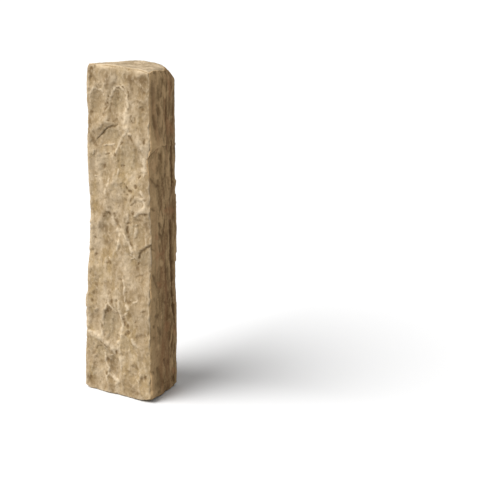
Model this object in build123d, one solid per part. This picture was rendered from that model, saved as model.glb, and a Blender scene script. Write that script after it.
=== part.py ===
"""Rough-split limestone edging stone, standing on one end.

Millimetres. +X runs across the broad front face, +Y from the front to the back and +Z up the length.
The origin is on the floor, under the middle of the stone.
"""

import os
from math import asin, atan, degrees, sin
from typing import NamedTuple

from build123d import *

# Driving dimensions: the nominal block that the stone is split to
LENGTH = 1000.0
WIDTH = 200.0
THICKNESS = 150.0

# Worn edges
ARRIS_WEAR = 6.0  # the four long edges
FOOT_WEAR = 5.0  # the edge round the foot

# The top end, which was broken off and not sawn
TOP_FALL = 17.0  # from its front edge to its back edge
LEFT_BREAK_DROP = 22.0  # the break across the back left corner, measured down the corner
LEFT_BREAK_REACH = 70.0  # and along the back edge
RIGHT_BREAK_DROP = 40.0  # the break across the back right corner
RIGHT_BREAK_REACH = 46.0
RIGHT_BREAK_DEPTH = 66.0  # and along the side edge

# Scars: shallow dishes that flakes left all over the split faces, with ridges between them
SCAR_ALLOWANCE = 3.0  # stone that the scars take off each face on average, left on the block for them
SCAR_WIDTH = 105.0  # these five are for the faces whose scars are alike, the back and the left
SCAR_LENGTH = 210.0
SCAR_DEPTH = 6.0
SCAR_OVERLAP = 0.30  # share of a scar that its neighbour takes
SCAR_LEAN = 24.0  # the most that a scar's long axis leans from upright, in degrees

# Turning by this angle again and again never repeats, which scatters the scars without a pattern.
GOLDEN_ANGLE = 2.39996

# A cutting body is larger than what it cuts
CUTTER_RIM = 15.0  # its thickness at its rim
CUTTER_SPREAD = 1.6  # its breadth as a share of the scar's


class Station(NamedTuple):
    """A cross-section: its share of the length, and how far each face stands out of the nominal block."""

    along: float
    left: float
    right: float
    front: float
    back: float


# The split faces wave along the length, and the stone is a little stouter at its foot.
STATIONS = (
    Station(0.00, 9.0, 3.0, 0.0, 1.0),
    Station(0.12, 8.0, 3.0, 0.0, 1.0),
    Station(0.28, 5.0, 2.0, 2.0, -1.0),
    Station(0.50, -6.0, 2.0, -2.0, 2.0),
    Station(0.70, -3.0, 1.0, 1.0, -2.0),
    Station(0.88, 2.0, -4.0, -1.0, 0.0),
    Station(1.00, -1.0, -3.0, -2.0, -2.0),
)


class Scar(NamedTuple):
    """A dish where a flake came off: where it is on its face, its size, and the lean of its long axis.

    across is from the middle of the face to its right, as a share of the face's width.
    along is up from the foot, as a share of the length. lean is anticlockwise from upright, in degrees.
    """

    across: float
    along: float
    width: float
    length: float
    depth: float
    lean: float = 0.0


# The scars of the two faces that differ from place to place
MARKED_FACES = {
    "front": (
        Scar(-0.40, 0.966, 85, 100, 6),
        Scar(0.32, 0.963, 140, 170, 6),
        Scar(0.00, 0.895, 90, 195, 9),
        Scar(-0.35, 0.890, 85, 140, 8),
        Scar(0.34, 0.867, 135, 195, 7),
        Scar(-0.11, 0.797, 105, 155, 9, -55),
        Scar(0.18, 0.741, 110, 225, 9, 5),
        Scar(-0.24, 0.696, 105, 155, 7),
        Scar(0.45, 0.662, 85, 155, 6),
        Scar(0.10, 0.620, 135, 155, 6, 20),
        Scar(-0.37, 0.594, 105, 180, 7),
        Scar(-0.13, 0.536, 105, 135, 7, 20),
        Scar(0.34, 0.525, 110, 170, 8, 20),
        Scar(-0.27, 0.468, 120, 170, 7, 10),
        Scar(0.40, 0.423, 105, 170, 9, -25),
        Scar(0.00, 0.405, 125, 170, 6),
        Scar(0.21, 0.337, 135, 155, 5),
        Scar(-0.31, 0.320, 110, 170, 6),
        Scar(0.27, 0.222, 120, 170, 6),
        Scar(-0.42, 0.219, 85, 125, 7),
        Scar(-0.11, 0.214, 95, 160, 9),
        Scar(0.16, 0.140, 120, 140, 6),
        Scar(-0.31, 0.115, 95, 155, 9, 45),
        Scar(0.37, 0.094, 110, 155, 6, -15),
        Scar(-0.10, 0.081, 85, 125, 8),
        Scar(-0.37, 0.028, 100, 110, 6),
        Scar(0.06, 0.021, 120, 100, 5),
    ),
    "right": (
        Scar(-0.22, 0.900, 90, 220, 5),
        Scar(0.25, 0.830, 90, 260, 5),
        Scar(-0.25, 0.690, 90, 220, 9),
        Scar(0.15, 0.620, 80, 260, 5, 3),
        Scar(-0.15, 0.500, 95, 240, 6, 4),
        Scar(0.22, 0.400, 90, 260, 5),
        Scar(-0.22, 0.330, 90, 240, 6),
        Scar(0.10, 0.220, 95, 220, 5, -4),
        Scar(-0.25, 0.130, 85, 200, 6, -6),
        Scar(0.28, 0.090, 80, 180, 5),
        Scar(0.36, 0.470, 60, 600, 8),
    ),
}


def face_plane(face):
    """The nominal plane of a long face: its x runs to the right, its y up the stone and its z outwards."""
    half_width = WIDTH / 2
    half_thickness = THICKNESS / 2
    return {
        "front": Plane((0, -half_thickness, 0), x_dir=(1, 0, 0), z_dir=(0, -1, 0)),
        "right": Plane((half_width, 0, 0), x_dir=(0, 1, 0), z_dir=(1, 0, 0)),
        "back": Plane((0, half_thickness, 0), x_dir=(-1, 0, 0), z_dir=(0, 1, 0)),
        "left": Plane((-half_width, 0, 0), x_dir=(0, -1, 0), z_dir=(-1, 0, 0)),
    }[face]


def face_width(face):
    return WIDTH if face in ("front", "back") else THICKNESS


def wave(face, along):
    """How far a face stands out of its nominal plane at a share of the length, straight between stations."""
    along = min(max(along, 0.0), 1.0)
    for low, high in zip(STATIONS, STATIONS[1:]):
        if along <= high.along:
            share = (along - low.along) / (high.along - low.along)
            return getattr(low, face) + share * (getattr(high, face) - getattr(low, face))


def cross_section(station, height, inset=0.0):
    """The four-sided section at a station, with its arrises worn off."""
    margin = SCAR_ALLOWANCE - inset
    left = -WIDTH / 2 - station.left - margin
    right = WIDTH / 2 + station.right + margin
    front = -THICKNESS / 2 - station.front - margin
    back = THICKNESS / 2 + station.back + margin
    outline = Polygon((left, front), (right, front), (right, back), (left, back), align=None)
    return Pos(0, 0, height) * chamfer(outline.vertices(), ARRIS_WEAR)


def split_block():
    """The block as it was split: waved faces between a flat foot with a worn edge and a square top."""
    foot, *others = STATIONS
    sections = [cross_section(foot, 0, FOOT_WEAR), cross_section(foot, FOOT_WEAR)]
    sections += [cross_section(station, station.along * LENGTH) for station in others]
    return loft(sections, ruled=True)


def above(corner, second, third):
    """A block that fills everything above the plane through three points."""
    normal = (Vector(*second) - Vector(*corner)).cross(Vector(*third) - Vector(*corner))
    if normal.Z < 0:
        normal = -normal
    reach = WIDTH + THICKNESS + LENGTH / 2
    plane = Plane(corner, z_dir=normal)
    return plane * Box(2 * reach, 2 * reach, reach, align=(Align.CENTER, Align.CENTER, Align.MIN))


def top_breaks():
    """What the broken top end has lost: the fall to the back, and the two back corners."""
    half_width = WIDTH / 2
    half_thickness = THICKNESS / 2
    back_height = LENGTH - TOP_FALL
    front_left = (-half_width, -half_thickness, LENGTH)
    front_right = (half_width, -half_thickness, LENGTH)
    back_left = (-half_width, half_thickness, back_height)
    fall = above(front_left, front_right, back_left)
    left_break = above(
        front_left,
        (-half_width, half_thickness, back_height - LEFT_BREAK_DROP),
        (LEFT_BREAK_REACH - half_width, half_thickness, back_height),
    )
    side_share = RIGHT_BREAK_DEPTH / THICKNESS
    right_break = above(
        (half_width, half_thickness, back_height - RIGHT_BREAK_DROP),
        (half_width - RIGHT_BREAK_REACH, half_thickness, back_height),
        (half_width, half_thickness - RIGHT_BREAK_DEPTH, back_height + side_share * TOP_FALL),
    )
    return [fall, left_break, right_break]


def scatter(count, swing):
    """A repeatable value between minus and plus swing, unlike that of the counts beside it."""
    return swing * sin(count * GOLDEN_ANGLE)


def like_scars(face):
    """Scars in staggered rows that cover a face, each shifted, leaned and dished a little differently."""
    columns = round(face_width(face) / (SCAR_WIDTH * (1 - SCAR_OVERLAP)))
    rows = round(LENGTH / (SCAR_LENGTH * (1 - SCAR_OVERLAP)))
    seed = len(face)
    for row in range(rows):
        stagger = 0.25 if row % 2 else -0.25
        for column in range(columns):
            count = seed + row * columns + column
            yield Scar(
                across=(column + 0.5 + stagger + scatter(count, 0.15)) / columns - 0.5,
                along=(row + 0.5 + scatter(2 * count, 0.25)) / rows,
                width=SCAR_WIDTH,
                length=SCAR_LENGTH,
                depth=SCAR_DEPTH * (1 + scatter(3 * count, 0.3)),
                lean=scatter(5 * count, SCAR_LEAN),
            )


def scar_cutter(face, scar):
    """A thick lens whose bulge cuts the scar's dish into its face."""
    bulge_radius = (scar.width**2 / 4 + scar.depth**2) / (2 * scar.depth)
    long_radius = bulge_radius * scar.length / scar.width
    spread = degrees(asin(CUTTER_SPREAD * scar.width / 2 / bulge_radius))
    bulge = EllipticalCenterArc(
        (0, 0), long_radius, bulge_radius, start_angle=90 - spread, arc_size=2 * spread
    )
    right_end = bulge @ 0
    left_end = bulge @ 1
    outer = right_end.Y - CUTTER_RIM
    sides_and_outside = Polyline(left_end, (left_end.X, outer), (right_end.X, outer), right_end)
    profile = Rot(-90 - spread, 0, 0) * make_face([bulge, sides_and_outside])
    lens = Rot(0, 0, 90 + scar.lean) * revolve(profile, Axis.X, revolution_arc=2 * spread)
    reach = scar.length / LENGTH / 2
    rise = wave(face, scar.along + reach) - wave(face, scar.along - reach)
    surface = wave(face, scar.along) + SCAR_ALLOWANCE
    place = Pos(scar.across * face_width(face), scar.along * LENGTH, surface)
    slope = Rot(degrees(atan(rise / scar.length)), 0, 0)
    return face_plane(face) * place * slope * Pos(0, 0, bulge_radius - scar.depth) * lens


def edging_stone():
    cutters = top_breaks()
    for face in ("front", "right", "back", "left"):
        scars = MARKED_FACES.get(face) or like_scars(face)
        cutters += [scar_cutter(face, scar) for scar in scars]
    stone = split_block()
    for cutter in cutters:
        stone -= cutter
    middle = stone.bounding_box().center()
    return Pos(-middle.X, -middle.Y, 0) * stone


os.makedirs("parts", exist_ok=True)
export_step(edging_stone(), "parts/edging_stone.step")
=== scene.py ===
"""Rough-split limestone edging stone: the split block's fine relief and colours, in a pale studio."""

from itertools import product
from math import cos, pi, radians, sin
from typing import NamedTuple

import bpy
import numpy as np
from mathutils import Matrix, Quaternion, Vector


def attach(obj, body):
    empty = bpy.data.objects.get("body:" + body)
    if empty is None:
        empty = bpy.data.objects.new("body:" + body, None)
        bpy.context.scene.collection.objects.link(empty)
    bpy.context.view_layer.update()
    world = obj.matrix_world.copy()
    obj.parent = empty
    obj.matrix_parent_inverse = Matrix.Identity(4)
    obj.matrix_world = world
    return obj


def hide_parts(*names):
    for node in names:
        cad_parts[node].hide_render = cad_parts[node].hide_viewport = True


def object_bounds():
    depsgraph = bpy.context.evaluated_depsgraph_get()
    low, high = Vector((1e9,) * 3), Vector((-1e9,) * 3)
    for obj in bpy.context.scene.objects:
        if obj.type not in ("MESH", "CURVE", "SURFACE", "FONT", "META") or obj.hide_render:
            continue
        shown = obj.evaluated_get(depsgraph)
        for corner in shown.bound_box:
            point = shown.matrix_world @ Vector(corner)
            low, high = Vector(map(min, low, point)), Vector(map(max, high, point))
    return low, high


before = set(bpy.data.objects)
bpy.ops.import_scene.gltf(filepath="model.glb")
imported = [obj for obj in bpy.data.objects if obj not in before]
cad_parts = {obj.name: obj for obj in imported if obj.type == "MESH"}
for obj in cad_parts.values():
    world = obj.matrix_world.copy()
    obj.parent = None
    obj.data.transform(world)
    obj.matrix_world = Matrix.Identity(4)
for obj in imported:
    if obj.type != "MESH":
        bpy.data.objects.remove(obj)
cad_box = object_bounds()

MM = 0.001
VOXEL = 2.96 * MM  # side of a face of the finished mesh

# Directions
RIGHTWARDS = (1, 0, 0)
LEFTWARDS = (-1, 0, 0)
BACKWARDS = (0, 1, 0)
FRONTWARDS = (0, -1, 0)
UPWARDS = (0, 0, 1)
DOWNWARDS = (0, 0, -1)

# Zones of the stone: where each starts and where it is full, in millimetres across
RIGHT_HALF = (30, 90)
RIGHT_END = (50, 90)
RIGHT_EDGE = (60, 95)
LEFT_EDGE = (-60, -95)

# The same from front to back
FRONT_HALF = (30, -60)
FRONT_EDGE = (-40, -68)
BEHIND_FRONT = (-60, 0)
BACK_EDGE = (30, 68)
# Over which the sides get painted light near the front and painted shade towards the back
REAR = (-80, 70)

# The same upwards
FOOT = (25, 0)
OFF_FLOOR = (0, 10)
ABOVE_FOOT = (10, 60)
UPPER_BACK = (620, 760)
UPPER_ARRIS = (780, 850)
CALM_ARRIS = (800, 860)
TOP_END = (900, 985)

# The same from the top's height, and in from the four sides
TOP_RIM = (-50, -15)
FOOT_RIM = (16, 4)

# The worn and broken shape
WEAR_STEPS = (3, 14, 50, 90)  # smoothing steps from crisp to roundest, each after the one before
RIGHT_FULLNESS = 3 * MM  # how far the right side stands out
ARRIS_FULLNESS = 4 * MM  # and its front arris besides
FOOT_CHIP_HEIGHT = 7 * MM

# The fine relief: how high each kind stands, or how deep it is sunk
BOWL_DEPTH = 4.5 * MM  # dishes of the split faces
SMALL_BOWL_DEPTH = 2.4 * MM
RIDGE_HEIGHT = 1.8 * MM
TORN_BOWL_DEPTH = 4.0 * MM  # dishes of the streaked sides
TORN_HEIGHT = 1.5 * MM
RIM_HEIGHT = 2.0 * MM
RAGGED_HEIGHT = 3.0 * MM  # edges of the front at the right and the top
SWELL_HEIGHT = 4.0 * MM
SCAR_RIM_HEIGHT = 6.0 * MM
GRIT_HEIGHT = 0.6 * MM
CREST_HEIGHT = 1.6 * MM
FLAKE_HEIGHT = 1.5 * MM
CRACK_DEPTH = 1.5 * MM
GROOVE_DEPTH = 4.0 * MM
HOLLOW_DEPTH = 1.2 * MM
PIT_DEPTH = 1.3 * MM
STAIN_DEPTH = 0.6 * MM
MEAN_BOWL = 0.3  # mean of the bowls and ridges, taken off so that they move no face as a whole

# Strokes
STROKE_END = 0.4  # width of a stroke at its ends, as a share of its full width
STROKE_REACH = 60 * MM  # how far from its path a stroke may still show
FLAKE_FALL = 22 * MM  # over what distance a raised flake falls away

# Colours, as linear red, green and blue
TAN = (0.52, 0.39, 0.24, 1)
DARK_TAN = (0.37, 0.257, 0.135, 1)
GREY_TAN = (0.42, 0.32, 0.187, 1)
OCHRE = (0.50, 0.35, 0.165, 1)
PALE = (0.74, 0.59, 0.40, 1)
BRIGHT = (0.80, 0.645, 0.45, 1)
UMBER = (0.20, 0.121, 0.051, 1)
BROWN = (0.14, 0.085, 0.036, 1)
# Dark brown of stains, and of painted shade in hollows and the groove
SOIL_AND_SHADE = (0.14, 0.075, 0.028, 1)
BARK = (0.21, 0.12, 0.048, 1)
RUST = (0.50, 0.26, 0.125, 1)
STRAW = (0.84, 0.575, 0.30, 1)
DULL_CREAM = (0.34, 0.257, 0.158, 1)
FAIR_CREAM = (0.67, 0.53, 0.36, 1)

# What the split faces show, drawn as strokes: a width, then the points that the stroke goes through.
# A point is millimetres across from the middle of the face and up from the floor.

# Pale crests between the scars of the front: partly pale stone and partly painted highlight of their lit
# facets
FRONT_CRESTS = (
    (5, (8, 955), (18, 958), (26, 952), (30, 942)),
    (7, (-90, 905), (-88, 920), (-80, 931), (-72, 934), (-62, 931), (-54, 933), (-48, 927), (-46, 915)),
    (9, (-25, 905), (-22, 922), (-15, 938), (-6, 948), (5, 952), (15, 947), (22, 939)),
    (10, (22, 939), (28, 930), (32, 918), (33, 905), (31, 892), (29, 878)),
    (26, (22, 874), (25, 858), (27, 845), (33, 830)),
    (12, (31, 836), (36, 822), (42, 814)),
    (16, (60, 818), (68, 803), (76, 787), (80, 765), (83, 745), (82, 725), (84, 700)),
    (6, (32, 824), (20, 812), (12, 799), (6, 784), (1, 768), (-4, 752)),
    (5, (-45, 768), (-28, 772), (-10, 778)),
    (6, (-77, 752), (-78, 735)),
    (5, (5, 708), (4, 692), (1, 675)),
    (5, (-78, 668), (-65, 672), (-57, 668), (-54, 658)),
    (8, (-26, 672), (-30, 655), (-36, 640)),
    (14, (-35, 642), (-39, 622)),
    (12, (-42, 602), (-40, 588), (-34, 578), (-26, 574)),
    (14, (76, 655), (82, 635), (90, 615)),
    (14, (91, 616), (88, 602), (78, 592), (66, 583), (58, 572)),
    (8, (34, 575), (32, 560), (28, 548)),
    (8, (62, 545), (58, 525), (56, 505)),
    (9, (-21, 560), (-13, 541), (-2, 520), (8, 502)),
    (9, (22, 512), (30, 500), (38, 486), (46, 468), (55, 453), (64, 440)),
    (9, (4, 492), (1, 475), (-3, 455)),
    (5, (44, 450), (56, 447)),
    (6, (40, 428), (50, 440), (60, 448)),
    (5, (-32, 432), (-24, 424)),
    (7, (19, 368), (24, 348), (23, 325), (26, 305)),
    (5, (52, 305), (62, 310), (70, 318)),
    (6, (-36, 308), (-31, 298), (-29, 287), (-22, 279)),
    (6, (-22, 279), (-10, 271), (0, 264)),
    (10, (30, 292), (38, 283), (32, 275)),
    (6, (22, 250), (26, 262), (34, 270)),
    (6, (-47, 215), (-48, 232), (-45, 248), (-38, 275), (-30, 287)),
    (8, (7, 304), (6, 288), (5, 275), (8, 262), (13, 250), (17, 240)),
    (10, (17, 241), (17, 222), (13, 203), (9, 187)),
    (8, (9, 188), (4, 167), (3, 147), (8, 132), (11, 111), (14, 86)),
    (7, (-52, 175), (-50, 190), (-53, 205)),
    (16, (-95, 180), (-75, 178), (-55, 172), (-42, 164)),
    (13, (-44, 168), (-33, 164), (-24, 155), (-15, 144), (-8, 133)),
    (9, (48, 190), (58, 178), (68, 168)),
    (5, (-30, 120), (-15, 124)),
    (7, (-43, 128), (-42, 112), (-42, 98), (-36, 87), (-27, 81)),
    (10, (-28, 80), (-30, 64), (-38, 52), (-36, 40)),
    (11, (-28, 66), (-18, 58), (-8, 50), (2, 46)),
    (8, (5, 48), (-2, 34), (-6, 20)),
    (5, (56, 82), (62, 68), (72, 56)),
)

# Broad pale zones
FRONT_PALES = (
    (24, (-15, 980), (5, 972), (12, 962)),
    (16, (42, 915), (52, 905), (48, 890)),
    (8, (-74, 857), (-76, 845)),
    (8, (-60, 850), (-52, 842)),
    (20, (92, 795), (98, 778), (92, 760)),
    (36, (-62, 745), (-60, 660)),
    (18, (-62, 716), (-72, 700)),
    (10, (30, 692), (35, 680)),
    (26, (50, 692), (50, 672), (46, 655)),
    (36, (-55, 655), (-56, 590)),
    (34, (-14, 635), (-14, 560)),
    (16, (-70, 560), (-68, 540)),
    (14, (-26, 545), (-18, 530)),
    (36, (-60, 545), (-62, 450)),
    (12, (-72, 525), (-73, 505), (-75, 490)),
    (36, (28, 455), (30, 375)),
    (16, (15, 420), (10, 405)),
    (16, (-41, 418), (-40, 395), (-40, 372), (-41, 350)),
    (10, (-4, 390), (-3, 350), (-2, 330)),
    (18, (-43, 338), (-44, 300)),
    (14, (42, 142), (48, 128), (44, 115)),
    (10, (55, 140), (58, 125)),
    (14, (85, 120), (92, 106), (98, 95)),
    (16, (95, 25), (105, 30)),
)

# Broad darker zones; those along the right arris and under the top rim are painted shade of the rounded
# edges
FRONT_DIMS_AND_EDGE_SHADE = (
    (40, (-92, 992), (-60, 990), (-20, 992)),
    (44, (20, 992), (60, 990), (98, 992)),
    (30, (96, 985), (97, 830)),
    (56, (76, 970), (78, 880)),
    (40, (38, 960), (42, 885)),
    (54, (-64, 945), (-64, 750)),
    (44, (76, 865), (80, 790)),
    (40, (93, 790), (93, 560)),
    (38, (94, 540), (94, 425)),
    (40, (78, 455), (76, 365)),
    (24, (-95, 430), (-95, 320)),
    (40, (93, 415), (92, 250), (95, 100)),
    (44, (76, 350), (74, 255)),
    (42, (76, 240), (74, 145)),
    (70, (10, 45), (95, 45)),
)

# Deep cracks under a raised flake, which is on the left of the way that a stroke goes; their brown is
# painted shadow under the flake
FRONT_CRACKS = (
    (9, (-66, 783), (-60, 790), (-52, 801), (-43, 811), (-34, 820)),
    (7, (71, 446), (74, 455), (79, 466), (88, 475), (97, 482), (104, 489), (112, 493)),
)

# Small pits, their darkness painted shade
FRONT_PITS = (
    # Painted shadow in the top left corner
    (16, (-84, 992), (-93, 980)),
    (5, (14, 953), (22, 950)),
    (6, (-5, 945), (3, 948), (8, 944)),
    (6, (36, 945), (37, 930), (36, 918)),
    (5, (-28, 918)),
    (10, (76, 906), (82, 893)),
    (14, (-33, 898), (-37, 886), (-40, 872)),
    (5, (34, 893), (34, 885)),
    (4, (46, 874), (44, 862), (50, 851), (58, 856), (57, 868)),
    (8, (-84, 860)),
    (8, (-14, 846), (-2, 854)),
    (6, (-35, 843), (-25, 846)),
    (8, (-34, 821), (-22, 826), (-10, 832), (0, 838)),
    (7, (64, 839)),
    (9, (85, 812), (87, 797)),
    (8, (36, 812), (44, 803), (52, 796)),
    (6, (18, 790), (12, 778)),
    (5, (-38, 741), (-25, 747)),
    (5, (-8, 752), (-6, 742)),
    (10, (-41, 710), (-45, 698)),
    (7, (12, 716), (22, 718)),
    (7, (75, 700), (71, 692)),
    (8, (62, 670), (62, 658)),
    (5, (25, 666)),
    (6, (8, 662)),
    (6, (14, 655)),
    (6, (32, 660), (34, 648)),
    (10, (38, 644), (50, 646)),
    (5, (23, 639)),
    (6, (34, 632)),
    (8, (91, 627)),
    (9, (29, 616)),
    (9, (59, 616)),
    (5, (40, 612), (48, 625), (52, 632)),
    (5, (44, 602), (54, 612)),
    (8, (78, 580), (90, 584), (100, 588)),
    (10, (50, 585), (53, 574)),
    (10, (-8, 570), (-9, 558)),
    (9, (-46, 548), (-42, 558), (-34, 565), (-26, 564), (-21, 556)),
    (7, (27, 541), (35, 546), (44, 550)),
    (11, (30, 535), (32, 520), (35, 502)),
    (7, (10, 531), (14, 526)),
    (6, (42, 490), (48, 478)),
    (8, (-74, 478)),
    (10, (-82, 440)),
    (12, (-72, 428)),
    (10, (71, 435), (68, 425)),
    (8, (-34, 409)),
    (8, (-22, 409)),
    (6, (11, 367)),
    (8, (32, 332)),
    (12, (30, 308), (36, 303), (44, 306)),
    (8, (-14, 300), (-20, 288)),
    (5, (0, 304), (-1, 294)),
    (8, (-84, 283)),
    (5, (-9, 276)),
    (6, (-2, 270)),
    (13, (-42, 251), (-33, 261), (-21, 268)),
    (6, (22, 258), (24, 240), (25, 225)),
    (10, (58, 243), (70, 248)),
    (7, (66, 232)),
    (8, (38, 230), (36, 220)),
    (9, (36, 212), (37, 200)),
    (6, (29, 198)),
    (6, (-57, 158), (-45, 155), (-32, 145)),
    (10, (67, 152)),
    (6, (-2, 140), (-1, 130)),
    (10, (-31, 105)),
    (9, (34, 86)),
    (12, (82, 72), (98, 78)),
    (5, (-33, 70), (-36, 58)),
    (20, (-94, 42), (-92, 30)),
)

# Faint brown stains
FRONT_STAINS = (
    (18, (-90, 980), (-78, 965), (-72, 955)),
    (30, (-90, 1004), (-94, 978), (-92, 950)),
    (8, (-52, 956)),
    (12, (-30, 985), (-36, 955), (-34, 935)),
    (30, (38, 990), (42, 968)),
    (34, (60, 985), (95, 985)),
    (20, (70, 960), (90, 950)),
    (8, (47, 951)),
    (10, (0, 938), (-3, 920), (-1, 908)),
    (8, (64, 920), (75, 916)),
    (8, (-21, 900), (-23, 885), (-22, 868)),
    (12, (-42, 868), (-48, 856)),
    (16, (-88, 850), (-90, 800), (-85, 770)),
    (18, (-80, 785), (-74, 770), (-65, 762)),
    (10, (-18, 770), (-14, 758)),
    (16, (-66, 748)),
    (6, (16, 750)),
    (8, (73, 695)),
    (14, (-42, 690), (-40, 678)),
    (14, (55, 562), (66, 558), (78, 562)),
    (24, (97, 558), (95, 540)),
    (14, (-8, 550), (0, 540), (8, 530)),
    (34, (-43, 518)),
    (20, (-34, 472)),
    (16, (-32, 411), (-22, 414)),
    (12, (64, 411)),
    (16, (105, 411)),
    (14, (60, 385), (72, 392), (84, 396)),
    (8, (-90, 370)),
    (8, (-75, 364)),
    (14, (-71, 335)),
    (10, (-93, 335)),
    (14, (73, 328)),
    (8, (-24, 320)),
    (16, (-77, 305)),
    (8, (85, 282), (96, 290)),
    (12, (38, 268), (48, 258)),
    (16, (-86, 240), (-84, 222)),
    (10, (-69, 235)),
    (8, (-51, 215), (-53, 200)),
    (10, (60, 198), (78, 206), (92, 210)),
    (6, (-2, 190), (-3, 175)),
    (8, (-43, 183)),
    (8, (-76, 128), (-66, 140), (-54, 145)),
    (8, (16, 131)),
    (10, (0, 114)),
    (36, (-21, 104)),
    (10, (-82, 114)),
    (10, (-77, 104)),
    (16, (50, 106), (66, 100)),
    (16, (-54, 93)),
    (12, (-74, 81)),
    (10, (76, 70)),
    (10, (-52, 46)),
    (8, (47, 40)),
    (14, (50, 20), (70, 24), (85, 22)),
    (16, (-90, 22)),
)

# Yellow weathering, most of it along the left edge
FRONT_OCHRES = (
    (26, (-88, 990), (-90, 940)),
    (18, (-92, 850), (-90, 780)),
    (24, (-74, 655), (-76, 600), (-72, 560)),
    (22, (-86, 445), (-84, 400), (-82, 360), (-85, 300), (-86, 240)),
    (24, (-92, 200), (-90, 185)),
    (22, (-90, 80), (-92, 20)),
)

# Where the edges stand out
FRONT_SWELLS = (
    (36, (-104, 1000), (-104, 920)),
    (30, (-104, 820), (-104, 760)),
    (36, (-98, 610), (-98, 440)),
    (30, (-106, 310), (-106, 190)),
)

# Where the broken top rises or falls: how far, over what reach, and around which place, across and back
TOP_RISES = (
    (2, 50, (-95, -90)),
    (10, 55, (-25, -90)),
    (11, 60, (35, -90)),
    (10, 60, (100, -90)),
    (8, 42, (88, -16)),
    (4, 26, (94, 52)),
    (5, 45, (20, 72)),
    (-6, 50, (-80, 70)),
)

# Chips off the front right arris and the foot: how deep, over what reach, and around which place
ARRIS_CHIPS = (
    (12, 42, (112, -82, 738)),
    (4, 30, (110, -78, 640)),
    (4, 40, (110, -78, 400)),
    (4, 30, (110, -78, 215)),
)
FOOT_CHIPS = (
    (8, 30, (108, -80, 0)),
    (6, 26, (108, -44, 0)),
)

# The right side: pale streaks and a painted highlight on a ledge, the groove beside its back edge
# darkened with painted shade, dark streaks with some painted shadows, and rusty ones
RIGHT_PALES_AND_HIGHLIGHTS = (
    (10, (-10, 995), (-5, 985), (0, 975)),
    (14, (5, 950), (10, 925), (15, 908)),
    (12, (-5, 890), (0, 870), (-5, 850), (-8, 830)),
    # Painted highlight of the lit ledge across the right side
    (14, (-80, 810), (-62, 806), (-48, 800)),
    (10, (-70, 792), (-48, 786), (-28, 778), (-10, 774)),
    (26, (-45, 745), (-42, 715)),
    (12, (38, 738), (34, 700), (30, 670)),
    (12, (70, 700), (72, 640)),
    (18, (-32, 692), (-22, 680)),
    (22, (-52, 632), (-45, 608)),
    (7, (-24, 568), (-15, 545)),
    (14, (-20, 487)),
    (12, (72, 460), (74, 380)),
    (14, (-15, 428), (-10, 408)),
    (12, (74, 330), (76, 240)),
    (10, (-28, 312)),
    (8, (-12, 256), (-10, 244)),
    (8, (48, 192), (46, 160), (40, 138)),
    (18, (-30, 168), (-25, 150)),
    (14, (48, 96), (52, 78), (44, 62)),
    (16, (-42, 66), (-28, 60)),
)
RIGHT_GROOVES = (
    (12, (51, 772), (49, 735), (48, 700), (51, 675), (53, 632)),
    (13, (48, 530), (50, 490), (49, 450), (51, 420), (55, 390), (54, 350), (51, 330), (53, 290)),
    (11, (53, 302), (55, 288), (53, 272), (57, 255), (60, 230), (63, 203)),
)

# The rim of the flake scar on the right, raised on the left of the way that it goes
RIGHT_RIMS = ((10, (-92, 708), (-80, 736), (-64, 760), (-46, 775), (-26, 780), (-6, 774)),)
RIGHT_STAINS_AND_SHADOWS = (
    # Painted shade along the top edge
    (14, (-45, 1002), (-28, 998)),
    (16, (-57, 985), (-55, 950)),
    (34, (-58, 978), (-52, 905)),
    (18, (-24, 962), (-20, 935), (-16, 915)),
    (12, (-6, 932), (-4, 918)),
    (16, (62, 915), (60, 885), (55, 850)),
    (12, (-28, 905), (-24, 882), (-15, 868)),
    (10, (42, 905), (44, 885), (40, 860), (33, 842)),
    (24, (-45, 875), (-40, 835)),
    (10, (-5, 800), (-3, 780)),
    (20, (22, 778), (30, 752)),
    # Painted shadow under the rim of the flake scar
    (12, (-73, 746), (-60, 762), (-45, 774)),
    (10, (-20, 752), (-15, 735)),
    (18, (8, 730), (10, 702)),
    (10, (-62, 690), (-40, 665), (-20, 655)),
    (12, (8, 685), (12, 672)),
    (12, (53, 640), (50, 612), (40, 598)),
    (10, (-12, 612), (-15, 585), (-6, 560)),
    (10, (-72, 606), (-52, 594)),
    (10, (38, 600), (36, 575), (40, 555), (33, 538), (27, 515), (23, 490)),
    (16, (-28, 545), (-12, 528)),
    (7, (-26, 516), (-12, 500), (-5, 472)),
    (16, (25, 506), (20, 488)),
    (7, (-92, 488), (-75, 485), (-62, 476), (-53, 470)),
    (14, (-56, 396), (-45, 376), (-35, 350)),
    (20, (30, 388), (25, 372)),
    (20, (40, 348), (32, 330)),
    (10, (-62, 326), (-50, 314)),
    (14, (22, 316), (30, 300)),
    (9, (5, 291), (20, 280)),
    (18, (-50, 266), (-30, 260)),
    (10, (-62, 240), (-55, 232)),
    (16, (-36, 226), (-20, 205), (-10, 190)),
    (10, (-56, 201)),
    (14, (64, 200), (66, 180)),
    (12, (35, 186), (38, 170), (35, 158)),
    (12, (48, 150), (50, 130)),
    (16, (66, 138), (65, 108)),
    (14, (0, 114), (6, 88)),
    (16, (24, 100), (28, 84)),
    (10, (-66, 96), (-50, 86)),
    (36, (-32, 92), (-22, 30)),
    (12, (-22, 54), (-10, 44)),
    (14, (45, 38), (55, 28)),
    (16, (-36, 24), (-24, 15)),
    (14, (10, 12), (35, 6)),
)
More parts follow.
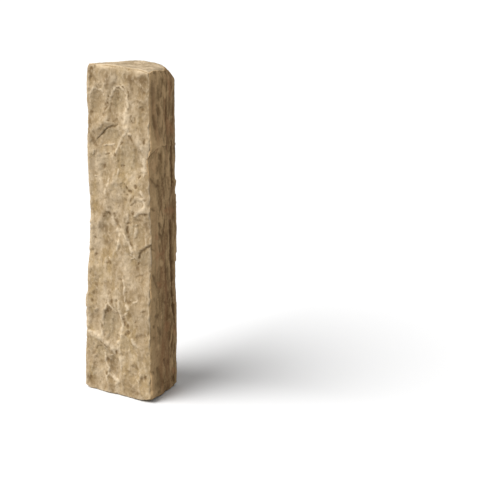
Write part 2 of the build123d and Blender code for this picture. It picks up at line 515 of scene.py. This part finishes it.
RIGHT_RUSTS = (
    (10, (12, 975), (24, 962)),
    (12, (28, 960), (38, 935), (42, 908)),
    (10, (32, 848), (36, 815), (32, 795)),
    (10, (44, 828), (54, 802), (60, 790)),
    (30, (-48, 740), (-40, 712)),
    (24, (0, 575), (30, 562), (60, 555)),
    (18, (-45, 512), (-30, 498)),
    (20, (-45, 450), (-10, 446)),
    (20, (-30, 362), (-10, 345)),
    (26, (25, 215), (30, 190)),
    (18, (62, 195), (66, 165)),
    (20, (55, 60), (65, 45)),
)


class Hollow(NamedTuple):
    """A small dish that a chip left, with a sharp rim, in millimetres."""

    across: float
    up: float
    width: float
    length: float


FRONT_HOLLOWS = (
    Hollow(-66, 892, 44, 84),
    Hollow(4, 912, 46, 84),
    Hollow(-15, 800, 75, 48),
    Hollow(35, 741, 60, 110),
    Hollow(-40, 695, 46, 72),
    Hollow(-32, 553, 28, 32),
    Hollow(-46, 515, 40, 44),
    Hollow(38, 512, 28, 56),
    Hollow(74, 513, 42, 74),
    Hollow(88, 445, 42, 62),
    Hollow(-20, 217, 58, 98),
    Hollow(-52, 128, 46, 52),
    Hollow(-19, 103, 44, 44),
    Hollow(30, 170, 32, 56),
)


# Noise

LATTICE = 256  # rows of random numbers that the noise draws from
NOISE_GAIN = 1.6  # brings the noise to about -1 at its lowest and 1 at its highest


def lattice_index(cells, table):
    """A repeatable row number for each cell of a grid."""
    x, y, z = cells.T
    return table[(table[(table[x % LATTICE] + y) % LATTICE] + z) % LATTICE]


def gradient_noise(points, seed):
    """Smooth noise between about -1 and 1 that changes over one unit."""
    rng = np.random.default_rng(seed)
    table = rng.permutation(LATTICE)
    slopes = rng.normal(size=(LATTICE, 3))
    slopes /= np.linalg.norm(slopes, axis=1, keepdims=True)
    cells = np.floor(points).astype(int)
    local = points - cells
    fade = local**3 * (local * (local * 6 - 15) + 10)
    total = np.zeros(len(points))
    for corner in product((0, 1), repeat=3):
        height = ((local - corner) * slopes[lattice_index(cells + corner, table)]).sum(axis=1)
        total += height * np.where(corner, fade, 1 - fade).prod(axis=1)
    return NOISE_GAIN * total


def layered_noise(points, size, layers, seed):
    """Noise whose layers each have half the size and half the height of the last."""
    total = np.zeros(len(points))
    for layer in range(layers):
        total += 0.5**layer * gradient_noise(points / size * 2**layer, seed + layer)
    return total


def bowls(points, size, seed):
    """Dishes that meet in crests: 0 in the middle of a dish, and about 1 on the highest crests."""
    rng = np.random.default_rng(seed)
    table = rng.permutation(LATTICE)
    jitter = rng.random((LATTICE, 3))
    points = points / size
    cells = np.floor(points).astype(int)
    nearest = np.full(len(points), np.inf)
    for offset in product((-1, 0, 1), repeat=3):
        beside = cells + offset
        centres = beside + jitter[lattice_index(beside, table)]
        nearest = np.minimum(nearest, ((points - centres) ** 2).sum(axis=1))
    return nearest


def smooth_step(low, high, value):
    share = np.clip((value - low) / (high - low), 0, 1)
    return share * share * (3 - 2 * share)


def within(zone, distance):
    """How far into a zone points are, from 0 where it starts to 1 where it is full."""
    start, full = zone
    return smooth_step(start * MM, full * MM, distance)


# The stone's mesh

def remeshed_block():
    """A new mesh with even small faces over the CAD solid."""
    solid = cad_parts["edging_stone"]
    block = bpy.data.objects.new("limestone_block", solid.data.copy())
    bpy.context.collection.objects.link(block)
    block.matrix_world = solid.matrix_world
    remesh = block.modifiers.new("even_faces", "REMESH")
    remesh.mode = "VOXEL"
    remesh.voxel_size = VOXEL
    evaluated = block.evaluated_get(bpy.context.evaluated_depsgraph_get())
    mesh = bpy.data.meshes.new_from_object(evaluated)
    block.modifiers.clear()
    block.data = mesh
    return block


block = remeshed_block()
mesh = block.data
count = len(mesh.vertices)
ends = np.empty(2 * len(mesh.edges), dtype=int)
mesh.edges.foreach_get("vertices", ends)
ends = ends.reshape(-1, 2)
here = ends.ravel()
there = ends[:, ::-1].ravel()
neighbours = np.bincount(here, minlength=count)


def spread(values, steps):
    """Values that are averaged with their neighbours' again and again, which smooths them."""
    for _ in range(steps):
        sums = np.stack([np.bincount(here, column[there], count) for column in values.T], axis=1)
        values = 0.5 * (values + sums / neighbours[:, None])
    return values


def mesh_vectors(collection, name):
    """A property of all the mesh's points, as rows of three numbers."""
    values = np.empty(3 * count)
    collection.foreach_get(name, values)
    return values.reshape(-1, 3)


def unit(vectors):
    return vectors / np.linalg.norm(vectors, axis=1, keepdims=True)


def worn(places):
    """The block with its edges worn round, most at the right and round the top."""
    x, y, z = places.T
    wear = smooth_step(-0.5, 0.7, layered_noise(places, size=60 * MM, layers=2, seed=10))
    grades = []
    for steps in WEAR_STEPS:
        places = spread(places, steps)
        grades.append(places)
    crisp, rounded, rounder, roundest = grades
    shape = crisp + wear[:, None] * (rounded - crisp)

    # The front right arris is worn less towards the top, and the back right one only there.
    front_right = within(FRONT_EDGE, y) * within(ABOVE_FOOT, z)
    front_right *= 1 - 0.5 * within(UPPER_ARRIS, z)
    back_right = 0.6 * within(BACK_EDGE, y) * within(UPPER_BACK, z)
    right_arrises = within(RIGHT_EDGE, x) * np.maximum(front_right, back_right)
    shape += right_arrises[:, None] * (rounder - shape)

    # The rim of the top is worn less at the left and most at the back right.
    top_rim = within(TOP_RIM, z - cad_box[1][2])
    top_rim *= 1 - 0.7 * within(LEFT_EDGE, x)
    shape += top_rim[:, None] * (rounder - shape) * (1, 1, 0.6)
    top_right = 0.6 * top_rim * within(RIGHT_END, x) * within(BEHIND_FRONT, y)
    return shape + top_right[:, None] * (roundest - shape)


def around(places, spots):
    """The sum of round swellings, each given as a height, a reach and a place in millimetres."""
    total = np.zeros(len(places))
    for height, reach, middle in spots:
        distance = np.linalg.norm(places - np.array(middle) * MM, axis=1)
        total += height * MM * np.exp(-((distance / (reach * MM)) ** 2))
    return total


def broken_out(places):
    """The block with its uneven top, a wavy front right arris and a chipped foot."""
    x, y, z = places.T
    wave = 1 + 0.9 * layered_noise(places * UPWARDS, size=70 * MM, layers=3, seed=71)
    wave *= 1 - 0.6 * within(CALM_ARRIS, z)
    bulge = within(RIGHT_HALF, x) * (RIGHT_FULLNESS + ARRIS_FULLNESS * wave * within(FRONT_HALF, y))
    lift = around(places[:, :2], TOP_RISES) * within(TOP_END, z)
    lift += around(places, FOOT_CHIPS)
    inwards = np.minimum(cad_box[1][0] - np.abs(x), cad_box[1][1] - np.abs(y))
    chipped = smooth_step(0.1, 0.9, layered_noise(places, size=22 * MM, layers=2, seed=61))
    lift += FOOT_CHIP_HEIGHT * chipped * within(FOOT_RIM, inwards) * within(FOOT, z)
    return places + np.stack([bulge, np.zeros(count), lift], axis=1)


places = broken_out(worn(mesh_vectors(mesh.vertices, "co")))
facing = unit(spread(mesh_vectors(mesh.vertex_normals, "vector"), 12))
off_floor = within(OFF_FLOOR, places[:, 2])


def wander(size, reach, first_seed):
    """A smooth field that moves points about by up to about its reach."""
    seeds = range(first_seed, first_seed + 3)
    return np.stack([layered_noise(places, size, 3, seed) for seed in seeds], axis=1) * reach


drift = wander(size=16 * MM, reach=2.5 * MM, first_seed=11)
vigour = np.clip(1.0 + 0.7 * layered_noise(places, size=30 * MM, layers=3, seed=17), 0.4, 1.6)
grit = layered_noise(places, size=9 * MM, layers=2, seed=18)


# The sides of the stone

def turned(way, start, full):
    """How squarely points face a way, from 0 at one share of it to 1 at another."""
    return smooth_step(start, full, facing @ np.array(way))


class Face(NamedTuple):
    """A side of the block: how much each point belongs to it, and the points' places on it."""

    share: np.ndarray
    flat: np.ndarray  # across and up


def face(outwards, across, on_its_head=False):
    """A side of the block. What is drawn on it may stand on its head."""
    drifted = places + drift
    flat = np.stack([drifted @ np.array(across), drifted[:, 2]], axis=1)
    if on_its_head:
        flat = (0, cad_box[1][2]) - flat
    return Face(turned(outwards, 0.45, 0.85), flat)


front = face(FRONTWARDS, RIGHTWARDS)
right = face(RIGHTWARDS, BACKWARDS)
back = face(BACKWARDS, LEFTWARDS, on_its_head=True)
left = face(LEFTWARDS, FRONTWARDS, on_its_head=True)
top = turned(UPWARDS, 0.45, 0.85)

# The right side is streaked, as far as the broken corner above it, and the left side a little.
broken_corner = turned(RIGHTWARDS, 0.3, 0.5) * turned(UPWARDS, 0.3, 0.5)
streaked = turned(RIGHTWARDS, 0.4, 0.95) + 0.35 * turned(LEFTWARDS, 0.4, 0.95)
streaked = np.maximum(streaked, broken_corner)

# Painted shade along the edge between the front and the top
painted_brow_shade = turned(FRONTWARDS, 0.1, 0.5) * turned(UPWARDS, 0.1, 0.4)
painted_brow_shade *= smooth_step(-0.8, 0.2, layered_noise(places, size=30 * MM, layers=3, seed=45))


# What is drawn on the sides

def follow(points, path):
    """How far points are from a path, positive on its left, and a stroke's share of its width there."""
    path = np.array(path) * MM
    if len(path) == 1:
        return np.linalg.norm(points - path[0], axis=1), np.ones(len(points))
    runs = np.diff(path, axis=0)
    lengths = np.linalg.norm(runs, axis=1)
    offset = np.full(len(points), np.inf)
    way = np.zeros(len(points))
    passed = 0.0
    for start, run, length in zip(path, runs, lengths):
        from_start = points - start
        share = np.clip(from_start @ run / length**2, 0, 1)
        distance = np.linalg.norm(from_start - share[:, None] * run, axis=1)
        side = np.where(run[0] * from_start[:, 1] < run[1] * from_start[:, 0], -1, 1)
        nearer = distance < np.abs(offset)
        offset = np.where(nearer, side * distance, offset)
        way = np.where(nearer, passed + share * length, way)
        passed += length
    way /= passed
    return offset, STROKE_END + 2 * (1 - STROKE_END) * np.sqrt(way * (1 - way))


def drawn(strokes, faces, profile):
    """The highest that a profile across the strokes reaches at each point of their faces."""
    highest = np.zeros(count)
    for carrier in faces:
        carried = np.flatnonzero(carrier.share > 0)
        flat = carrier.flat[carried]
        for width, *path in strokes:
            corners = np.array(path) * MM
            lowest_corner = corners.min(axis=0) - STROKE_REACH
            highest_corner = corners.max(axis=0) + STROKE_REACH
            inside = ((flat > lowest_corner) & (flat < highest_corner)).all(axis=1)
            near = carried[inside]
            offset, taper = follow(carrier.flat[near], path)
            half_width = width / 2 * MM * taper * vigour[near]
            height = profile(offset, half_width) * carrier.share[near]
            highest[near] = np.maximum(highest[near], height)
    return highest


def line_profile(offset, half_width):
    return np.exp(-((offset / half_width) ** 2))


def flake_profile(offset, half_width):
    """Raised on the left, and falling away from there."""
    return np.where(offset > 0, np.exp(-offset / FLAKE_FALL) * (1 - np.exp(-offset / half_width)), 0)


def dished(hollows, faces):
    """How deep each point is in a hollow, from 0 at its rim to 1."""
    deepest = np.zeros(count)
    for carrier in faces:
        for dish in hollows:
            middle = np.array((dish.across, dish.up)) * MM
            half_size = np.array((dish.width, dish.length)) / 2 * MM
            depth = 1 - (((carrier.flat - middle) / half_size) ** 2).sum(axis=1)
            deepest = np.maximum(deepest, depth * carrier.share)
    return deepest


def marked(front_strokes=(), right_strokes=()):
    """Strokes on the front and the right, and again on the back and the left."""
    on_front = drawn(front_strokes, (front, back), line_profile)
    on_right = drawn(right_strokes, (right, left), line_profile)
    return np.maximum(on_front, on_right)


broken = smooth_step(-0.9, 0.3, layered_noise(places, size=18 * MM, layers=3, seed=51))
crest = marked(FRONT_CRESTS) * broken
pale_zone_and_highlight = marked(FRONT_PALES, RIGHT_PALES_AND_HIGHLIGHTS)
crack = marked(FRONT_CRACKS)
groove = marked(right_strokes=RIGHT_GROOVES)
flake = drawn(FRONT_CRACKS, (front, back), flake_profile)
scar_rim = drawn(RIGHT_RIMS, (right, left), flake_profile)
pit = marked(FRONT_PITS) * smooth_step(-1.0, 0.4, grit)
stain_and_shadow = marked(FRONT_STAINS, RIGHT_STAINS_AND_SHADOWS)
dim_and_edge_shade = marked(FRONT_DIMS_AND_EDGE_SHADE)
ochre = marked(FRONT_OCHRES)
rust = marked(right_strokes=RIGHT_RUSTS)
swell = marked(FRONT_SWELLS)
hollow = dished(FRONT_HOLLOWS, (front, back))


# The fine relief

# Squeezing the heights draws a texture out along the stone.
upright = (places + wander(size=40 * MM, reach=8 * MM, first_seed=14)) * (1, 1, 0.38)
fibrous = (places + wander(size=40 * MM, reach=4 * MM, first_seed=24)) * (1, 1, 0.16)
patchy = smooth_step(-0.4, 0.6, layered_noise(places, size=60 * MM, layers=2, seed=26))
split = (
    BOWL_DEPTH * (bowls(upright, size=40 * MM, seed=21) - MEAN_BOWL)
    + SMALL_BOWL_DEPTH * patchy * (bowls(upright, size=15 * MM, seed=22) - MEAN_BOWL)
    + RIDGE_HEIGHT * (MEAN_BOWL - np.abs(layered_noise(upright, size=28 * MM, layers=3, seed=23)))
)
torn = (
    TORN_BOWL_DEPTH * (bowls(fibrous, size=32 * MM, seed=31) - MEAN_BOWL)
    + TORN_HEIGHT * layered_noise(fibrous, size=18 * MM, layers=2, seed=32)
)
rim = 1 - smooth_step(0.72, 0.97, np.abs(facing).max(axis=1))
ragged = np.maximum(turned(RIGHTWARDS, 0.2, 0.5), turned(UPWARDS, 0.2, 0.5))
ragged *= turned(FRONTWARDS, 0.2, 0.5)
relief = (
    (split + (torn - split) * streaked) * (1 - 0.7 * rim) * (1 - 0.5 * top)
    + RIM_HEIGHT * rim * (1 - ragged)
    + SWELL_HEIGHT * swell
    + RAGGED_HEIGHT * ragged * layered_noise(places, size=28 * MM, layers=3, seed=41)
    - around(places, ARRIS_CHIPS)
    + SCAR_RIM_HEIGHT * scar_rim
    + GRIT_HEIGHT * grit
    + CREST_HEIGHT * crest
    + FLAKE_HEIGHT * flake
    - CRACK_DEPTH * crack
    - GROOVE_DEPTH * groove
    - HOLLOW_DEPTH * hollow
    - PIT_DEPTH * pit
    - STAIN_DEPTH * stain_and_shadow
)
shift = facing * relief[:, None]
shift[:, 2] *= off_floor
places += shift
places[:, 2] = np.maximum(places[:, 2], 0)
mesh.vertices.foreach_set("co", places.ravel())
mesh.update()
mesh.shade_smooth()


# What the material reads from the mesh

outwards = unit(spread(mesh_vectors(mesh.vertex_normals, "vector"), 2))


def rise(steps):
    """How far points stand out of the smoothed shape, as a share of the usual, but 0 on the edges."""
    height = ((places - spread(places, steps)) * outwards).sum(axis=1)
    return (1 - rim) * height / height.std()


stored_values = {
    "crest": crest,
    "pale_zone_and_highlight": pale_zone_and_highlight,
    "crack": crack * smooth_step(-1.2, 0.2, grit),
    "groove": groove,
    "pit": pit,
    "stain_and_shadow": stain_and_shadow,
    "dim_and_edge_shade": dim_and_edge_shade,
    "ochre": ochre,
    "rust": rust,
    "hollow": np.clip(hollow, 0, 1),
    "fine_rise": rise(3),
    "broad_rise": rise(40),
    "streaked": streaked,
    "painted_brow_shade": painted_brow_shade,
    "painted_shade_rearwards": within(REAR, places[:, 1]),
    "top": top,
}
for name, values in stored_values.items():
    mesh.attributes.new(name, "FLOAT", "POINT").data.foreach_set("value", values)


class Island(NamedTuple):
    """A side of the stone in its UV map: its directions, and where the stone's origin lies on it."""

    outwards: tuple
    rightwards: tuple
    upwards: tuple
    origin: tuple


MAP_SIDE = 1.04  # metres of stone along a side of the map
ISLANDS = (
    Island(FRONTWARDS, RIGHTWARDS, UPWARDS, (0.12, 0.01)),
    Island(RIGHTWARDS, BACKWARDS, UPWARDS, (0.34, 0.01)),
    Island(BACKWARDS, LEFTWARDS, UPWARDS, (0.55, 0.01)),
    Island(LEFTWARDS, FRONTWARDS, UPWARDS, (0.76, 0.01)),
    Island(UPWARDS, BACKWARDS, LEFTWARDS, (0.945, 0.15)),
    Island(DOWNWARDS, BACKWARDS, RIGHTWARDS, (0.945, 0.42)),
)


def add_map():
    """A UV map with the four long sides and the two ends beside each other, for baking the colours."""
    corners = np.empty(len(mesh.loops), dtype=int)
    mesh.loops.foreach_get("vertex_index", corners)
    starts = np.empty(len(mesh.polygons), dtype=int)
    mesh.polygons.foreach_get("loop_start", starts)
    sides = np.array([island.outwards for island in ISLANDS])
    nearest = np.argmax(np.add.reduceat(facing[corners], starts) @ sides.T, axis=1)
    nearest = np.repeat(nearest, np.diff(starts, append=len(corners)))
    flat = np.empty((len(corners), 2))
    for number, island in enumerate(ISLANDS):
        own = nearest == number
        axes = np.array((island.rightwards, island.upwards)).T
        flat[own] = (places[corners[own]] @ axes + island.origin) / MAP_SIDE
    mesh.uv_layers.new(name="OFBake").data.foreach_set("uv", flat.ravel())


add_map()


# The stone's material

class Layer(NamedTuple):
    """A colour over others: what it follows, where that starts and is full, and its share there."""

    colour: tuple
    follows: bpy.types.NodeSocket
    start: float = 0.0
    full: float = 1.0
    share: float = 1.0


def limestone():
    """Matt tan stone: mottled, streaked brown on two sides, paler on crests with painted highlight, and
    darker with painted shade in hollows, pits, cracks, the groove, along some edges and towards the back
    of the sides.
    """
    material = bpy.data.materials.new("split_limestone")
    material.use_nodes = True
    nodes = material.node_tree.nodes
    links = material.node_tree.links
    shader = nodes["Principled BSDF"]
    shader.inputs["Specular IOR Level"].default_value = 0.2
    position = nodes.new("ShaderNodeTexCoord").outputs["Object"]

    def squeezed(share):
        """Places whose height is squeezed, which draws a texture out along the stone."""
        node = nodes.new("ShaderNodeMapping")
        node.inputs["Scale"].default_value = (1, 1, share)
        links.new(position, node.inputs["Vector"])
        return node.outputs["Vector"]

    def noise(scale, detail, place=position):
        node = nodes.new("ShaderNodeTexNoise")
        node.inputs["Scale"].default_value = scale
        node.inputs["Detail"].default_value = detail
        node.inputs["Roughness"].default_value = 0.62
        links.new(place, node.inputs["Vector"])
        return node.outputs["Fac"]

    def stored(name):
        node = nodes.new("ShaderNodeAttribute")
        node.attribute_name = name
        return node.outputs["Fac"]

    def stretch(value, low, high, least, most):
        """A value that goes from least to most as another goes from low to high."""
        node = nodes.new("ShaderNodeMapRange")
        links.new(value, node.inputs["Value"])
        node.inputs["From Min"].default_value = low
        node.inputs["From Max"].default_value = high
        node.inputs["To Min"].default_value = least
        node.inputs["To Max"].default_value = most
        return node.outputs["Result"]

    def mix(share, low, high):
        node = nodes.new("ShaderNodeMix")
        node.data_type = "RGBA"
        sockets = (node.inputs["Factor"], node.inputs["A"], node.inputs["B"])
        for socket, value in zip(sockets, (share, low, high)):
            if isinstance(value, bpy.types.NodeSocket):
                links.new(value, socket)
            else:
                socket.default_value = value
        return node.outputs["Result"]

    def laid(colour, *layers):
        """A colour with others laid over it in turn."""
        for layer in layers:
            share = stretch(layer.follows, layer.start, layer.full, 0.0, layer.share)
            colour = mix(share, colour, layer.colour)
        return colour

    def pale_crests_and_cavity_shade(high, low, lowest):
        """Layers that are paler where the stone rises, partly pale stone and partly painted highlight,
        and darker where it is sunk, which is painted shade.
        """
        return (
            Layer(high, stored("broad_rise"), 0.2, 2.5, 0.5),
            Layer(low, stored("broad_rise"), -0.2, -2.5, 0.5),
            Layer(high, stored("fine_rise"), 0.4, 3.0, 0.5),
            Layer(lowest, stored("fine_rise"), -0.4, -3.0, 0.5),
        )

    upright = squeezed(0.6)
    tall = squeezed(0.35)
    streaky = squeezed(0.24)
    fibrous = squeezed(0.14)
    creamy = laid(DULL_CREAM, Layer(FAIR_CREAM, noise(24, 4), 0.40, 0.60))
    mottled = laid(
        DARK_TAN,
        Layer(TAN, noise(22, 7, tall), 0.40, 0.60),
        Layer(OCHRE, noise(14, 5, tall), 0.50, 0.62, 0.6),
        Layer(PALE, noise(45, 7, upright), 0.50, 0.66, 0.6),
        Layer(GREY_TAN, stored("hollow"), full=0.5, share=0.45),
        Layer(OCHRE, stored("ochre"), share=0.6),
        Layer(creamy, stored("top"), share=0.75),
        # Painted shade along the edge between the front and the top
        Layer(DARK_TAN, stored("painted_brow_shade"), share=0.8),
        # Darker zones, with painted shade along the right arris and under the top rim
        Layer(DARK_TAN, stored("dim_and_edge_shade"), share=0.4),
        Layer(BRIGHT, stored("pale_zone_and_highlight"), share=0.4),
        # Pale stone on the crests, with painted highlight of their lit facets
        Layer(BRIGHT, stored("crest"), full=0.9, share=0.85),
        Layer(UMBER, stored("stain_and_shadow"), share=0.7),
        # Painted highlight on what rises and painted shade in what is sunk
        *pale_crests_and_cavity_shade(PALE, DARK_TAN, UMBER),
        # Painted shade in the pits
        Layer(UMBER, stored("pit"), full=0.8, share=0.9),
        Layer(PALE, noise(120, 6, upright), 0.52, 0.75, 0.6),
        Layer(UMBER, noise(150, 6, upright), 0.52, 0.75, 0.6),
    )
    side = laid(
        BARK,
        Layer(STRAW, noise(60, 5, streaky), 0.40, 0.60),
        Layer(BARK, noise(14, 4, fibrous), 0.42, 0.58, 0.55),
        Layer(BARK, noise(150, 5), 0.5, 0.75, 0.85),
        Layer(STRAW, noise(120, 5), 0.52, 0.75, 0.6),
        Layer(RUST, noise(30, 4, fibrous), 0.5, 0.65, 0.6),
        # Painted light near the front arris and painted shade towards the back of the sides
        Layer(BARK, stored("painted_shade_rearwards"), 0.2, 1.0, 0.35),
        Layer(STRAW, stored("painted_shade_rearwards"), 0.6, 0.0, 0.5),
        Layer(RUST, stored("rust"), full=0.8, share=0.6),
        # Pale streaks, with painted highlight on the ledge across the side
        Layer(STRAW, stored("pale_zone_and_highlight"), full=0.8, share=0.7),
        # Stains, with painted shade along the top edge and under the rim of the flake scar
        Layer(SOIL_AND_SHADE, stored("stain_and_shadow"), share=0.55),
        # Painted highlight on what rises and painted shade in what is sunk
        *pale_crests_and_cavity_shade(STRAW, BARK, SOIL_AND_SHADE),
        # Painted shade in the groove
        Layer(SOIL_AND_SHADE, stored("groove"), full=0.8, share=0.85),
    )
    colour = mix(stored("streaked"), mottled, side)
    # Painted shadow in the cracks under the raised flakes
    colour = laid(colour, Layer(BROWN, stored("crack"), share=0.8))
    links.new(colour, shader.inputs["Base Color"])
    links.new(stretch(noise(90, 4), 0.35, 0.65, 0.82, 0.97), shader.inputs["Roughness"])
    bump = nodes.new("ShaderNodeBump")
    bump.inputs["Strength"].default_value = 0.6
    bump.inputs["Distance"].default_value = 1.5 * MM
    links.new(noise(220, 6), bump.inputs["Height"])
    links.new(bump.outputs["Normal"], shader.inputs["Normal"])
    return material


mesh.materials.clear()
mesh.materials.append(limestone())
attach(block, "root")
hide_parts("edging_stone")


# The studio

FLOOR_SIDE = 60  # metres
FLOOR_SHADE = (0.3, 0.3, 0.3, 1)  # what lights the stone from below
FLOOR_WHITE = (0.9, 0.9, 0.9, 1)  # what is seen
ROOM_STRENGTH = 0.36
WHITE_STRENGTH = 1.0
KEY_STRENGTH = 1.19 * pi
KEY_SPREAD = radians(45)
TOWARDS_KEY = (-0.5, -0.64, 0.87)


def shown_directly(nodes, links):
    """1 for rays that come from the camera, from a reflection or through glass, and 0 for the others."""
    path = nodes.new("ShaderNodeLightPath")
    shown = path.outputs["Is Camera Ray"]
    for name in ("Is Glossy Ray", "Is Transmission Ray"):
        either = nodes.new("ShaderNodeMath")
        either.operation = "MAXIMUM"
        links.new(shown, either.inputs[0])
        links.new(path.outputs[name], either.inputs[1])
        shown = either.outputs[0]
    return shown


def pale_floor():
    """A floor that looks white and keeps the shadow, but throws less light up at the stone."""
    bpy.ops.mesh.primitive_plane_add(size=FLOOR_SIDE)
    floor = bpy.context.object
    floor.name = "floor"
    material = bpy.data.materials.new("pale_floor")
    material.use_nodes = True
    nodes = material.node_tree.nodes
    links = material.node_tree.links
    shader = nodes["Principled BSDF"]
    shader.inputs["Roughness"].default_value = 1.0
    shader.inputs["Specular IOR Level"].default_value = 0.0
    mix = nodes.new("ShaderNodeMix")
    mix.data_type = "RGBA"
    mix.inputs["A"].default_value = FLOOR_SHADE
    mix.inputs["B"].default_value = FLOOR_WHITE
    links.new(shown_directly(nodes, links), mix.inputs["Factor"])
    links.new(mix.outputs["Result"], shader.inputs["Base Color"])
    floor.data.materials.append(material)


def white_room():
    """A world that looks white and lights the stone dimly."""
    world = bpy.data.worlds.new("white_room")
    bpy.context.scene.world = world
    world.use_nodes = True
    nodes = world.node_tree.nodes
    links = world.node_tree.links
    sky = nodes["Background"]
    sky.inputs["Color"].default_value = (1, 1, 1, 1)
    strength = nodes.new("ShaderNodeMapRange")
    strength.inputs["To Min"].default_value = ROOM_STRENGTH
    strength.inputs["To Max"].default_value = WHITE_STRENGTH
    links.new(shown_directly(nodes, links), strength.inputs["Value"])
    links.new(strength.outputs["Result"], sky.inputs["Strength"])


def key_light():
    """A soft key light from the upper left."""
    lamp = bpy.data.lights.new("key", "SUN")
    lamp.energy = KEY_STRENGTH
    lamp.angle = KEY_SPREAD
    key = bpy.data.objects.new("key", lamp)
    bpy.context.collection.objects.link(key)
    key.rotation_euler = Vector(TOWARDS_KEY).to_track_quat("Z", "Y").to_euler()


# The camera

IMAGE_SIDE = 480  # pixels
FOCAL_LENGTH = 3340  # pixels
SENSOR = 36  # millimetres
AZIMUTH = radians(31.57)
LEVEL_DISTANCE = 8.85
CAMERA_HEIGHT = 4.149
AIM_HEIGHT = 0.461
AIM_RIGHT = 0.3134  # how far right of the stone the middle of the picture is
ROLL = radians(0.73)
CLIP_END = 200


def camera():
    """A far camera above and right of the front, tipped a little, with the stone left of the middle."""
    data = bpy.data.cameras.new("camera")
    data.sensor_width = SENSOR
    data.lens = FOCAL_LENGTH / IMAGE_SIDE * SENSOR
    data.clip_end = CLIP_END
    view = bpy.data.objects.new("camera", data)
    bpy.context.collection.objects.link(view)
    view.location = (LEVEL_DISTANCE * sin(AZIMUTH), -LEVEL_DISTANCE * cos(AZIMUTH), CAMERA_HEIGHT)
    rightwards = Vector((cos(AZIMUTH), sin(AZIMUTH), 0))
    aim = Vector((0, 0, AIM_HEIGHT)) + rightwards * AIM_RIGHT
    level = (aim - view.location).to_track_quat("-Z", "Y")
    view.rotation_euler = (level @ Quaternion((0, 0, 1), ROLL)).to_euler()
    bpy.context.scene.camera = view


pale_floor()
white_room()
key_light()
camera()
bpy.context.scene.view_settings.view_transform = "Standard"
